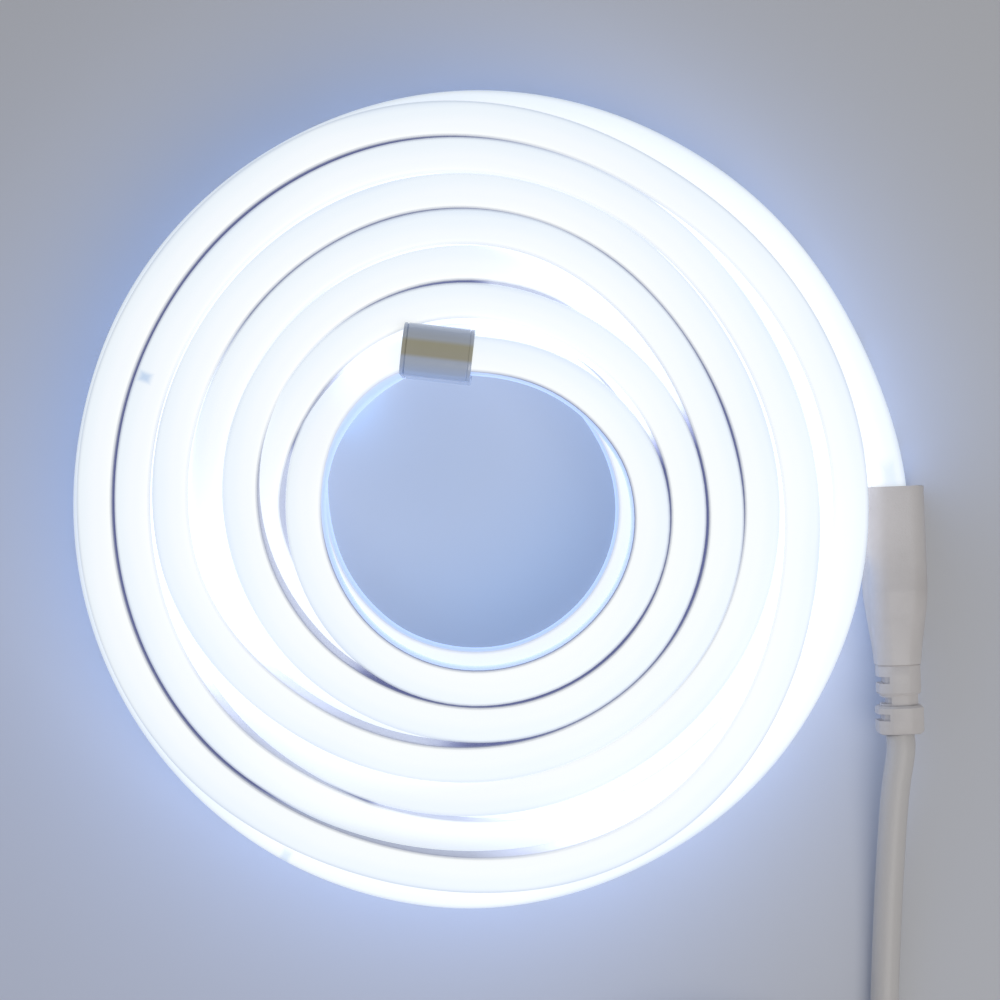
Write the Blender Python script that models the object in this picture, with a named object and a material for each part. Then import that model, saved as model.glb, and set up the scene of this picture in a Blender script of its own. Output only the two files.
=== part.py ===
"""LED neon flex, wound into a flat coil of two layers, with its end cap and its power lead.

Metres, +Z up. The coil lies on the plane z = 0 with its light-giving faces up, and the
origin is the middle of the flex, cap and connector, on that plane.
"""

import math

import bpy
import bmesh
from mathutils import Vector

# The flex: a band that stands on its narrow back, with a rounded light-giving face on top.
FLEX_WIDTH = 0.0080
FLEX_HEIGHT = 0.0160
FLEX_EDGE = 0.0011

# The coil: two layers of turns, the upper ones lying about half a turn further out.
COIL_X = -0.0061
COIL_Y = 0.0
TURNS_PER_LAYER = 6
TURN_GAP = 0.0003
BORE_RADIUS = 0.0330
LAYER_SHIFT = 0.0034
LAYER_SINK = 0.0002
GROOVE_DEPTH = 0.0012
COIL_SEGMENTS = 72

# The fillet under the edge of the upper layer, in which the outermost turn is bedded.
OVERHANG_FILLET = 0.0022

# Where turns of the upper layer part, or one of them dives, and the turns below show. Each
# parting is a list of an angle in degrees, its inner and outer radius, and its depth.
PARTINGS = {
    "outer_dive": (
        (232.5, 0.0700, 0.0784, 0.0008),
        (241.5, 0.0695, 0.0777, 0.0023),
        (256.5, 0.0690, 0.0772, 0.0058),
        (271.5, 0.0687, 0.0776, 0.0103),
        (286.5, 0.0686, 0.0783, 0.0140),
        (301.5, 0.0684, 0.0779, 0.0155),
        (316.5, 0.0684, 0.0754, 0.0155),
        (331.5, 0.0683, 0.0721, 0.0155),
        (346.5, 0.0678, 0.0693, 0.0155),
        (353.5, 0.0675, 0.0681, 0.0155),
    ),
    "outer_climb": (
        (198.5, 0.0692, 0.0700, 0.0150),
        (206.5, 0.0680, 0.0705, 0.0147),
        (216.5, 0.0665, 0.0707, 0.0133),
        (231.5, 0.0643, 0.0707, 0.0100),
        (246.5, 0.0631, 0.0702, 0.0062),
        (261.5, 0.0626, 0.0699, 0.0026),
        (270.5, 0.0621, 0.0694, 0.0008),
    ),
    "middle_dive": (
        (167.5, 0.0545, 0.0620, 0.0008),
        (181.5, 0.0545, 0.0618, 0.0035),
        (196.5, 0.0539, 0.0614, 0.0070),
        (211.5, 0.0533, 0.0593, 0.0105),
        (226.5, 0.0529, 0.0569, 0.0135),
        (241.5, 0.0525, 0.0553, 0.0150),
        (256.5, 0.0526, 0.0543, 0.0155),
        (268.5, 0.0529, 0.0537, 0.0155),
    ),
    "middle_climb": (
        (25.5, 0.0494, 0.0501, 0.0155),
        (46.5, 0.0478, 0.0511, 0.0155),
        (61.5, 0.0471, 0.0528, 0.0145),
        (76.5, 0.0470, 0.0547, 0.0075),
        (89.5, 0.0474, 0.0556, 0.0012),
    ),
    "inner_dive": (
        (165.5, 0.0407, 0.0470, 0.0010),
        (181.5, 0.0406, 0.0465, 0.0070),
        (196.5, 0.0411, 0.0459, 0.0115),
        (211.5, 0.0418, 0.0453, 0.0147),
        (226.5, 0.0428, 0.0449, 0.0155),
        (238.5, 0.0436, 0.0445, 0.0155),
    ),
    "inner_climb": (
        (25.5, 0.0404, 0.0412, 0.0155),
        (37.5, 0.0384, 0.0404, 0.0155),
        (49.5, 0.0354, 0.0396, 0.0155),
        (73.5, 0.0354, 0.0390, 0.0155),
        (97.5, 0.0354, 0.0397, 0.0155),
        (121.5, 0.0354, 0.0400, 0.0150),
        (136.5, 0.0354, 0.0400, 0.0115),
        (151.5, 0.0354, 0.0400, 0.0052),
        (162.5, 0.0354, 0.0400, 0.0012),
    ),
}

# The outermost turn: it leaves the connector, stands off the lower layer and closes in on it.
# Each pair is an angle in degrees and how far the turn stands off that layer. Raised by the
# connector's wall at its mouth, the turn comes down to the floor on its way to the first one.
OUTER_TURN = (
    (14.0, 0.0042),
    (30.0, 0.0025),
    (52.0, 0.0015),
    (75.0, 0.0010),
    (92.0, 0.0008),
    (110.0, 0.0003),
    (145.0, -0.0006),
    (180.0, -0.0011),
    (225.0, -0.0002),
    (266.0, 0.0008),
    (300.0, -0.0006),
    (330.0, -0.0023),
    (355.0, -0.0048),
)

# The innermost turn: it leaves the upper layer and runs over the lower one to the end cap.
# Each triple is an angle, how far the turn's middle lies outside the bore's wall, and how
# far it is raised above the lower layer.
INNER_TURN = (
    (-32.0, 0.0098, -0.0006),
    (0.0, 0.0063, -0.0004),
    (30.0, 0.0032, 0.0004),
    (55.0, 0.0008, 0.0013),
    (74.0, -0.0006, 0.0019),
)
FLEX_STRAIGHT = 0.0020
FLEX_STEPS = 5

# The end cap: a moulded cup pushed over the end of the flex, its middle over the bore's wall.
CAP_LENGTH = 0.0155
CAP_SIDE_WALL = 0.0018
CAP_TOP_WALL = 0.00175
CAP_DOME = 0.0040
CAP_SOCKET_DEPTH = 0.0120
CAP_ANGLE = 103.15
CAP_TURN = math.radians(-6.5)

# The power connector: sleeve, taper, and a strain relief of collar, neck and ring.
CONNECTOR_GAP = 0.00185
CONNECTOR_LEAN = math.radians(2.2)
MOUTH_Y = 0.0031
SLEEVE_SIDE_WALL = 0.0025
SLEEVE_TOP_WALL = 0.0015
SLEEVE_ROUND = 0.0042
SLEEVE_LENGTH = 0.0235
SOCKET_OFFSET = 0.0009
SOCKET_DEPTH = 0.0160
TAPER_LENGTH = 0.0167
COLLAR_RADIUS = 0.0047
COLLAR_LENGTH = 0.0068
NECK_RADIUS = 0.0040
NECK_LENGTH = 0.0025
RING_RADIUS = 0.0051
RING_LENGTH = 0.0065
NOTCH_WIDTH = 0.0015
NOTCH_DEPTH = 0.0013
COLLAR_NOTCH_SETBACK = 0.0034
RING_NOTCH_SETBACK = 0.0025

# The power lead: the seen stretch, a round coil of the rest, and the end at the plug.
# LEAD_ROUTE is x, y and height; END_ROUTE, straight as seen from above, is x and height.
LEAD_DIAMETER = 0.0065
LEAD_ROUTE = (
    (0.0896, -0.0680, 0.0078),
    (0.0887, -0.0912, 0.0045),
    (0.0880, -0.1143, 0.0034),
    (0.0875, -0.1330, 0.0033),
)
END_ROUTE = (
    (0.0160, 0.0146),
    (0.0030, 0.0094),
)
LEAD_STRAIGHT = 0.0040
LEAD_STEPS = 2
LEAD_FLOOR_GAP = 0.00005
LEAD_COIL_X = 0.0500
LEAD_COIL_Y = -0.1650
LEAD_COIL_RADIUS = 0.0341
LEAD_COIL_LAYERS = 3
LEAD_COIL_EDGE = 0.0020
LEAD_COIL_SEGMENTS = 48
LEAD_STUB = 0.0015

# The flat two-pin plug and its strain relief.
PLUG_FACE_X = -0.0580
PLUG_WIDTH = 0.0353
PLUG_REAR_WIDTH = 0.0250
PLUG_HEIGHT = 0.0137
PLUG_ROUND = 0.0062
PLUG_STRAIGHT = 0.0170
PLUG_LENGTH = 0.0340
RELIEF_LENGTH = 0.0140
RELIEF_RADIUS = 0.0048
RELIEF_TIP_RADIUS = 0.0040
PIN_RADIUS = 0.0020
PIN_LENGTH = 0.0190
PIN_SPACING = 0.0186
PIN_SEAT = 0.0040
PIN_SIDES = 16

# Gap between pieces that touch.
CLEARANCE = 0.0003

CORNER_STEPS = 4
SHARP_ANGLE = math.radians(35)

TURN_PITCH = FLEX_WIDTH + TURN_GAP
LOWER_OUTER_RADIUS = BORE_RADIUS + TURNS_PER_LAYER * TURN_PITCH
UPPER_BORE_RADIUS = BORE_RADIUS + LAYER_SHIFT
UPPER_OUTER_RADIUS = LOWER_OUTER_RADIUS + LAYER_SHIFT
UPPER_BASE = FLEX_HEIGHT - LAYER_SINK
COIL_TOP = UPPER_BASE + FLEX_HEIGHT

CAP_WIDTH = FLEX_WIDTH + 2 * CAP_SIDE_WALL
CAP_BASE = FLEX_HEIGHT + CLEARANCE
CAP_HEIGHT = FLEX_HEIGHT + 2 * CAP_TOP_WALL

SLEEVE_WIDTH = FLEX_WIDTH + 2 * SLEEVE_SIDE_WALL
SLEEVE_HEIGHT = FLEX_HEIGHT + 2 * SLEEVE_TOP_WALL
MOUTH_X = COIL_X + UPPER_OUTER_RADIUS + CONNECTOR_GAP + SLEEVE_WIDTH / 2
CONNECTOR_AXIS_Z = SLEEVE_HEIGHT / 2
COLLAR_START = SLEEVE_LENGTH + TAPER_LENGTH
NECK_START = COLLAR_START + COLLAR_LENGTH
RING_START = NECK_START + NECK_LENGTH
CONNECTOR_LENGTH = RING_START + RING_LENGTH

LEAD_RADIUS = LEAD_DIAMETER / 2
LEAD_REST = LEAD_RADIUS + LEAD_FLOOR_GAP
LEAD_TOP = LEAD_REST + (LEAD_COIL_LAYERS - 1) * LEAD_DIAMETER
LEAD_OUTER_TURN = LEAD_COIL_RADIUS + LEAD_RADIUS
LEAD_COIL_OUTER = LEAD_COIL_RADIUS + LEAD_DIAMETER
STUB_LENGTH = math.sqrt(LEAD_COIL_OUTER ** 2 - LEAD_COIL_RADIUS ** 2) + LEAD_STUB

PLUG_Y = LEAD_COIL_Y - LEAD_OUTER_TURN
PLUG_AXIS_Z = PLUG_HEIGHT / 2
PLUG_REAR_X = PLUG_FACE_X + PLUG_LENGTH


def clear_scene():
    for item in list(bpy.data.objects):
        bpy.data.objects.remove(item, do_unlink=True)


def make_material(name, colour, roughness, metallic=0.0):
    """A plain material with one colour."""
    material = bpy.data.materials.new(name)
    material.use_nodes = True
    shader = material.node_tree.nodes["Principled BSDF"]
    shader.inputs["Base Color"].default_value = (*colour, 1.0)
    shader.inputs["Roughness"].default_value = roughness
    shader.inputs["Metallic"].default_value = metallic
    return material


def solid(name, bm, material=None):
    """Turn a bmesh into a named object with its faces pointing out."""
    bmesh.ops.remove_doubles(bm, verts=bm.verts, dist=1e-7)
    bmesh.ops.recalc_face_normals(bm, faces=bm.faces)
    mesh = bpy.data.meshes.new(name)
    bm.to_mesh(mesh)
    bm.free()
    mesh.shade_smooth()
    mesh.set_sharp_from_angle(angle=SHARP_ANGLE)
    item = bpy.data.objects.new(name, mesh)
    bpy.context.scene.collection.objects.link(item)
    if material is not None:
        mesh.materials.append(material)
    return item


def combine(target, tool, operation):
    """Join a tool solid to the target or cut it away, and hide the tool."""
    modifier = target.modifiers.new(operation.lower() + "_" + tool.name, "BOOLEAN")
    modifier.operation = operation
    modifier.solver = "EXACT"
    modifier.object = tool
    tool.hide_render = True
    tool.display_type = "WIRE"


def loft(sections):
    """Skin a list of equal point loops and close both ends."""
    bm = bmesh.new()
    rings = [[bm.verts.new(point) for point in section] for section in sections]
    for ring, following in zip(rings, rings[1:]):
        bridge(bm, ring, following)
    bm.faces.new(rings[0])
    bm.faces.new(rings[-1])
    return bm


def turned(profile, segments, place):
    """Turn a closed profile of (radius, height) points full circle."""
    bm = bmesh.new()
    rings = []
    for segment in range(segments):
        angle = 360.0 * segment / segments
        rings.append([bm.verts.new(place(angle, radius, height)) for radius, height in profile])
    for ring, following in zip(rings, rings[1:] + rings[:1]):
        bridge(bm, ring, following)
    return bm


def bridge(bm, ring, following):
    """Join two closed loops of as many vertices with a band of faces."""
    count = len(ring)
    for i in range(count):
        j = (i + 1) % count
        bm.faces.new((ring[i], ring[j], following[j], following[i]))


def rounded_outline(width, low, high, low_round, high_round):
    """A rectangle across (side, height) with rounded lower and upper corners."""
    half = width / 2
    corners = (
        (half - low_round, low + low_round, low_round, -90.0),
        (half - high_round, high - high_round, high_round, 0.0),
        (high_round - half, high - high_round, high_round, 90.0),
        (low_round - half, low + low_round, low_round, 180.0),
    )
    outline = []
    for side, height, radius, start in corners:
        for step in range(CORNER_STEPS + 1):
            angle = math.radians(start + 90.0 * step / CORNER_STEPS)
            outline.append((side + radius * math.cos(angle), height + radius * math.sin(angle)))
    return outline


def round_outline(radius, height):
    """A circle round a height, with as many points as a rounded rectangle."""
    count = 4 * (CORNER_STEPS + 1)
    outline = []
    for step in range(count):
        angle = math.tau * (step + 0.5) / count - math.pi / 2
        outline.append((radius * math.cos(angle), height + radius * math.sin(angle)))
    return outline


def flex_outline(grow=0.0):
    """The section of the flex, its base at height zero, optionally grown all round."""
    half = FLEX_WIDTH / 2 + grow
    low = -grow
    high = FLEX_HEIGHT + grow
    edge = FLEX_EDGE
    return [
        (half - edge, low),
        (half, low + edge),
        (half, high - edge),
        (half - edge, high),
        (edge - half, high),
        (-half, high - edge),
        (-half, low + edge),
        (edge - half, low),
    ]


def smooth_path(route, steps):
    """Points read from a smooth curve through the route, a few for each of its stretches."""
    route = [Vector(point) for point in route]
    ends = [2 * route[0] - route[1]] + route + [2 * route[-1] - route[-2]]
    points = []
    for before, start, end, after in zip(ends, ends[1:], ends[2:], ends[3:]):
        for step in range(steps):
            t = step / steps
            points.append(0.5 * (
                2 * start
                + (end - before) * t
                + (2 * before - 5 * start + 4 * end - after) * t ** 2
                + (3 * start - 3 * end + after - before) * t ** 3
            ))
    points.append(route[-1])
    return points


def sweep(path, outline):
    """Carry an upright outline along a path, square to the path as seen from above."""
    sections = []
    last = len(path) - 1
    for i, point in enumerate(path):
        ahead = path[min(i + 1, last)] - path[max(i - 1, 0)]
        side = Vector((ahead.y, -ahead.x, 0.0)).normalized()
        sections.append([point + side * across + Vector((0.0, 0.0, up)) for across, up in outline])
    return loft(sections)


def around_coil(angle, radius, height=0.0):
    """A point at an angle in degrees and a radius from the flex coil's axis."""
    turn = math.radians(angle)
    return Vector((COIL_X + radius * math.cos(turn), COIL_Y + radius * math.sin(turn), height))


def around_lead_coil(angle, radius, height):
    """A point at an angle in degrees and a radius from the lead coil's axis."""
    turn = math.radians(angle)
    x = LEAD_COIL_X + radius * math.cos(turn)
    y = LEAD_COIL_Y + radius * math.sin(turn)
    return Vector((x, y, height))


def on_connector(distance, across, height):
    """A point on the connector: distance from its mouth, across it, and height."""
    along = Vector((math.sin(CONNECTOR_LEAN), -math.cos(CONNECTOR_LEAN), 0.0))
    side = Vector((math.cos(CONNECTOR_LEAN), math.sin(CONNECTOR_LEAN), 0.0))
    return Vector((MOUTH_X, MOUTH_Y, height)) + along * distance + side * across


def on_cap(distance, across, height):
    """A point on the end cap: distance from its open end, across it, and height."""
    along = Vector((-math.cos(CAP_TURN), -math.sin(CAP_TURN), 0.0))
    side = Vector((-math.sin(CAP_TURN), math.cos(CAP_TURN), 0.0))
    middle = around_coil(CAP_ANGLE, BORE_RADIUS, height)
    return middle + along * (distance - CAP_LENGTH / 2) + side * across


def socket_cutter(place, depth, offset, base):
    """The flex's section with its clearance, from outside a mouth to the socket's floor."""
    outline = flex_outline(CLEARANCE)
    return loft([
        [place(distance, across + offset, up + base) for across, up in outline]
        for distance in (-depth, depth)
    ])


def turn_crests(bore_radius, level, groove):
    """One face of a layer from the bore outwards: a flat crest a turn, grooves between."""
    points = []
    for turn in range(TURNS_PER_LAYER):
        start = bore_radius + turn * TURN_PITCH
        points.append((start + FLEX_EDGE, level))
        points.append((start + TURN_PITCH - FLEX_EDGE, level))
        if turn < TURNS_PER_LAYER - 1:
            points.append((start + TURN_PITCH, level + groove))
    return points


def coil_profile():
    """Half the section of the two layers, from the lower bore round and back to it."""
    profile = [(BORE_RADIUS, FLEX_EDGE)]
    profile += turn_crests(BORE_RADIUS, 0.0, GROOVE_DEPTH)
    profile += [
        (LOWER_OUTER_RADIUS, FLEX_EDGE),
        (LOWER_OUTER_RADIUS, UPPER_BASE - OVERHANG_FILLET),
        (LOWER_OUTER_RADIUS + OVERHANG_FILLET, UPPER_BASE),
        (UPPER_OUTER_RADIUS, UPPER_BASE),
        (UPPER_OUTER_RADIUS, COIL_TOP - FLEX_EDGE),
    ]
    profile += reversed(turn_crests(UPPER_BORE_RADIUS, COIL_TOP, -GROOVE_DEPTH))
    profile += [
        (UPPER_BORE_RADIUS, COIL_TOP - FLEX_EDGE),
        (UPPER_BORE_RADIUS, FLEX_HEIGHT),
        (BORE_RADIUS + FLEX_EDGE, FLEX_HEIGHT),
        (BORE_RADIUS, FLEX_HEIGHT - FLEX_EDGE),
    ]
    return profile


def cap_body(grow):
    """The outside of the end cap, optionally grown all round."""
    low = CAP_BASE - grow
    high = CAP_BASE + CAP_HEIGHT + grow
    outline = rounded_outline(CAP_WIDTH + 2 * grow, low, high, FLEX_EDGE, CAP_DOME)
    return loft([
        [on_cap(distance, across, up) for across, up in outline]
        for distance in (-grow, CAP_LENGTH + grow)
    ])


def parting_cutter(stations):
    """A wedge from a parting's floor up past the top of the coil, along its stations."""
    above = COIL_TOP + FLEX_EDGE
    return loft([
        [
            around_coil(angle, inner, COIL_TOP - depth),
            around_coil(angle, outer, COIL_TOP - depth),
            around_coil(angle, outer, above),
            around_coil(angle, inner, above),
        ]
        for angle, inner, outer, depth in stations
    ])


def outer_turn():
    """The flex from its seat in the connector round the outside of the coil."""
    seat = SOCKET_DEPTH - CLEARANCE
    route = [
        on_connector(distance, -SOCKET_OFFSET, SLEEVE_TOP_WALL)
        for distance in (seat, 0.0, -FLEX_STRAIGHT)
    ]
    for angle, standoff in OUTER_TURN:
        route.append(around_coil(angle, LOWER_OUTER_RADIUS + FLEX_WIDTH / 2 + standoff))
    path = smooth_path(route, FLEX_STEPS)
    for point in path:
        point.z = max(point.z, 0.0)
    return sweep(path, flex_outline())


def inner_turn():
    """The flex from the upper layer over the bore's edge to its seat in the end cap."""
    route = [
        around_coil(angle, BORE_RADIUS + out, FLEX_HEIGHT + lift)
        for angle, out, lift in INNER_TURN
    ]
    seat = CAP_SOCKET_DEPTH - CLEARANCE
    base = CAP_BASE + CAP_TOP_WALL
    route += [on_cap(distance, 0.0, base) for distance in (-FLEX_STRAIGHT, 0.0, seat)]
    return sweep(smooth_path(route, FLEX_STEPS), flex_outline())


def make_flex(material):
    """The wound flex: the turned layers with the outermost and innermost turns, in one body."""
    coil = solid("flex_coil", turned(coil_profile(), COIL_SEGMENTS, around_coil), material)
    combine(coil, solid("cap_clearance", cap_body(CLEARANCE)), "DIFFERENCE")
    for name, stations in PARTINGS.items():
        combine(coil, solid(name, parting_cutter(stations)), "DIFFERENCE")
    combine(coil, solid("outer_turn", outer_turn()), "UNION")
    combine(coil, solid("inner_turn", inner_turn()), "UNION")


def make_cap(material):
    """The end cap, a cup with its socket on the side that the flex comes from."""
    cap = solid("end_cap", cap_body(0.0), material)
    cutter = socket_cutter(on_cap, CAP_SOCKET_DEPTH, 0.0, CAP_BASE + CAP_TOP_WALL)
    combine(cap, solid("cap_socket", cutter), "DIFFERENCE")


def notch_cutter(middle, radius):
    """A block that takes a notch out of the coil's side of a round stretch."""
    reach = 2 * radius
    outline = (
        (-reach, CONNECTOR_AXIS_Z - reach),
        (NOTCH_DEPTH - radius, CONNECTOR_AXIS_Z - reach),
        (NOTCH_DEPTH - radius, CONNECTOR_AXIS_Z + reach),
        (-reach, CONNECTOR_AXIS_Z + reach),
    )
    return loft([
        [on_connector(distance, across, up) for across, up in outline]
        for distance in (middle - NOTCH_WIDTH / 2, middle + NOTCH_WIDTH / 2)
    ])


def make_connector(material):
    """Sleeve, taper, collar, neck and ring, moulded as one piece."""
    sleeve = rounded_outline(SLEEVE_WIDTH, 0.0, SLEEVE_HEIGHT, SLEEVE_ROUND, SLEEVE_ROUND)
    collar = round_outline(COLLAR_RADIUS, CONNECTOR_AXIS_Z)
    neck = round_outline(NECK_RADIUS, CONNECTOR_AXIS_Z)
    ring = round_outline(RING_RADIUS, CONNECTOR_AXIS_Z)
    stations = (
        (0.0, sleeve),
        (SLEEVE_LENGTH, sleeve),
        (COLLAR_START, collar),
        (NECK_START, collar),
        (NECK_START, neck),
        (RING_START, neck),
        (RING_START, ring),
        (CONNECTOR_LENGTH, ring),
    )
    body = solid("power_connector", loft([
        [on_connector(distance, across, up) for across, up in outline]
        for distance, outline in stations
    ]), material)
    cutter = socket_cutter(on_connector, SOCKET_DEPTH, -SOCKET_OFFSET, SLEEVE_TOP_WALL)
    combine(body, solid("connector_socket", cutter), "DIFFERENCE")
    cutter = notch_cutter(COLLAR_START + COLLAR_NOTCH_SETBACK, COLLAR_RADIUS)
    combine(body, solid("collar_notch", cutter), "DIFFERENCE")
    cutter = notch_cutter(RING_START + RING_NOTCH_SETBACK, RING_RADIUS)
    combine(body, solid("ring_notch", cutter), "DIFFERENCE")


def make_tube(name, route, material):
    """A round cord along a smooth curve through its route, closed at both ends."""
    points = smooth_path(route, LEAD_STEPS)
    curve = bpy.data.curves.new(name, "CURVE")
    curve.dimensions = "3D"
    curve.bevel_depth = LEAD_RADIUS
    curve.bevel_resolution = 3
    curve.use_fill_caps = True
    spline = curve.splines.new("POLY")
    spline.points.add(len(points) - 1)
    for slot, point in zip(spline.points, points):
        slot.co = (*point, 1.0)
    curve.materials.append(material)
    item = bpy.data.objects.new(name, curve)
    bpy.context.scene.collection.objects.link(item)


def rod(name, start, end, radius, material=None):
    """A round bar between two points."""
    axis = (end - start).normalized()
    first = axis.orthogonal().normalized()
    second = axis.cross(first)
    sections = []
    for centre in (start, end):
        angles = [math.tau * i / PIN_SIDES for i in range(PIN_SIDES)]
        sections.append([
            centre + first * radius * math.cos(angle) + second * radius * math.sin(angle)
            for angle in angles
        ])
    return solid(name, loft(sections), material)


def make_lead(material):
    """The seen stretch, the coil of the rest, and the end that runs to the plug."""
    inner = LEAD_COIL_RADIUS - LEAD_DIAMETER
    outer = LEAD_COIL_OUTER
    low = LEAD_FLOOR_GAP
    high = low + LEAD_COIL_LAYERS * LEAD_DIAMETER
    edge = LEAD_COIL_EDGE
    profile = (
        (inner, low + edge),
        (inner + edge, low),
        (outer - edge, low),
        (outer, low + edge),
        (outer, high - edge),
        (outer - edge, high),
        (inner + edge, high),
        (inner, high - edge),
    )
    coil = solid("lead_coil", turned(profile, LEAD_COIL_SEGMENTS, around_lead_coil), material)

    way_in = around_lead_coil(0.0, LEAD_OUTER_TURN, LEAD_REST)
    entry = way_in + Vector((0.0, STUB_LENGTH, 0.0))
    combine(coil, rod("entry_stub", way_in, entry, LEAD_RADIUS), "UNION")
    way_out = around_lead_coil(-90.0, LEAD_OUTER_TURN, LEAD_TOP)
    leaving = way_out - Vector((STUB_LENGTH, 0.0, 0.0))
    combine(coil, rod("exit_stub", way_out, leaving, LEAD_RADIUS), "UNION")

    start = CONNECTOR_LENGTH + CLEARANCE
    route = [
        on_connector(distance, 0.0, CONNECTOR_AXIS_Z)
        for distance in (start, start + LEAD_STRAIGHT)
    ]
    route += [Vector(point) for point in LEAD_ROUTE]
    route += [entry + Vector((0.0, CLEARANCE, 0.0))]
    make_tube("lead_seen", route, material)

    start = leaving.x - CLEARANCE
    end = PLUG_REAR_X + RELIEF_LENGTH + CLEARANCE
    stations = [(start, LEAD_TOP), (start - LEAD_STRAIGHT, LEAD_TOP)]
    stations += END_ROUTE
    stations += [(end + LEAD_STRAIGHT, PLUG_AXIS_Z), (end, PLUG_AXIS_Z)]
    make_tube("lead_end", [Vector((x, PLUG_Y, z)) for x, z in stations], material)


def make_plug(plastic, metal):
    """The plug with its moulded strain relief, and its two pins."""
    front = rounded_outline(PLUG_WIDTH, 0.0, PLUG_HEIGHT, PLUG_ROUND, PLUG_ROUND)
    rear = rounded_outline(PLUG_REAR_WIDTH, 0.0, PLUG_HEIGHT, PLUG_ROUND, PLUG_ROUND)
    stations = (
        (PLUG_FACE_X, front),
        (PLUG_FACE_X + PLUG_STRAIGHT, front),
        (PLUG_REAR_X, rear),
        (PLUG_REAR_X, round_outline(RELIEF_RADIUS, PLUG_AXIS_Z)),
        (PLUG_REAR_X + RELIEF_LENGTH, round_outline(RELIEF_TIP_RADIUS, PLUG_AXIS_Z)),
    )
    body = solid("plug_body", loft([
        [Vector((x, PLUG_Y + across, up)) for across, up in outline]
        for x, outline in stations
    ]), plastic)
    for name, side in (("plug_pin_left", 1), ("plug_pin_right", -1)):
        y = PLUG_Y + side * PIN_SPACING / 2
        floor = Vector((PLUG_FACE_X + PIN_SEAT, y, PLUG_AXIS_Z))
        seat = floor - Vector((CLEARANCE, 0.0, 0.0))
        tip = Vector((PLUG_FACE_X - PIN_LENGTH, y, PLUG_AXIS_Z))
        rod(name, seat, tip, PIN_RADIUS, metal)
        combine(body, rod(name + "_bore", floor, tip, PIN_RADIUS + CLEARANCE), "DIFFERENCE")


def main():
    clear_scene()
    make_flex(make_material("flex_silicone", (0.93, 0.95, 1.0), 0.45))
    make_cap(make_material("cap_plastic", (0.82, 0.84, 0.86), 0.22))
    make_connector(make_material("connector_plastic", (0.78, 0.77, 0.75), 0.4))
    make_lead(make_material("lead_pvc", (0.76, 0.75, 0.73), 0.45))
    make_plug(
        make_material("plug_plastic", (0.78, 0.77, 0.75), 0.4),
        make_material("pin_nickel", (0.78, 0.76, 0.72), 0.25, 1.0),
    )


main()
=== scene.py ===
import math

import bmesh
import bpy
import numpy as np
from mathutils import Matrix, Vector


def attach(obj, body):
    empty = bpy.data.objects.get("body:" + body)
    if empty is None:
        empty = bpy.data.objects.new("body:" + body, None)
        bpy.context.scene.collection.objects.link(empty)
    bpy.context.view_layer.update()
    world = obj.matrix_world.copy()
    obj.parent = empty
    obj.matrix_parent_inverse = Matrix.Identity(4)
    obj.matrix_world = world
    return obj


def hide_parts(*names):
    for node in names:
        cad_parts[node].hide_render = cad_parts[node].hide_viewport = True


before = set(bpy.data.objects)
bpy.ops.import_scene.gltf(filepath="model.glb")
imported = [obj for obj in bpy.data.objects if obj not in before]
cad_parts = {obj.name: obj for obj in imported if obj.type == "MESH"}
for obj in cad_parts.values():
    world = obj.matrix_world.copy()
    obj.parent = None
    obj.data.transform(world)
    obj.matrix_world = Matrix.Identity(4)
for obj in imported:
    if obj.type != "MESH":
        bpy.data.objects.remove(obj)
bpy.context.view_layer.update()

bpy.ops.object.select_all(action="DESELECT")

# ---------------------------------------------------------------------------
# The camera: straight above the coil, as in the photograph, 57.5 cm over the
# surface that it lies on. The picture is 217 mm wide at the top of the coil.
# ---------------------------------------------------------------------------
bpy.ops.object.camera_add(location=(0.0, 0.0, 0.575), rotation=(0.0, 0.0, 0.0))
camera = bpy.context.object
camera.name = "camera"
camera.data.sensor_width = 36.0
camera.data.lens = 89.92
camera.data.clip_start = 0.01
bpy.context.scene.camera = camera

# ---------------------------------------------------------------------------
# The power lead: 1.5 m of round two-core cable with a satin PVC sheath, 6.5 mm
# thick. It leaves the connector's last ring, comes down to the surface, and
# its rest lies in a neat round coil beside the product, down to the plug.
# ---------------------------------------------------------------------------
LEAD_DIAMETER = 0.0065
LEAD_EXIT = (0.09061, -0.05316, 0.0095)
LEAD_ROUTE = (
    LEAD_EXIT,
    (0.09077, -0.05716, 0.0095),
    (0.0896, -0.0680, 0.0078),
    (0.0887, -0.0912, 0.0045),
    (0.0880, -0.1143, 0.0034),
    (0.0875, -0.1330, 0.0033),
    (0.08735, -0.1470, 0.0033),
    (0.08735, -0.1560, 0.0033),
)
LEAD_END = (
    (0.0380, -0.20235, 0.0163),
    (0.0265, -0.20235, 0.0160),
    (0.0160, -0.20235, 0.0141),
    (0.0030, -0.20235, 0.0094),
    (-0.0057, -0.20235, 0.00685),
    (-0.0097, -0.20235, 0.00685),
)
LEAD_COIL = (0.0500, -0.1650)
# How far round the lead's coil, in degrees, then the radius and the height there in mm.
LEAD_TURNS = (
    (0, 37.35, 3.3), (315, 37.35, 3.3), (372, 30.85, 3.3), (645, 30.85, 3.3),
    (690, 29.2, 5.8), (703, 29.0, 7.0), (718, 29.0, 8.2), (740, 29.4, 9.4), (775, 30.85, 9.8),
    (1130, 30.85, 9.8), (1185, 37.35, 9.8), (1500, 37.35, 9.8), (1555, 30.85, 16.3),
    (1850, 30.85, 16.3), (1878, 34.1, 18.0), (1905, 37.35, 16.5), (2250, 37.35, 16.3),
)


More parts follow.
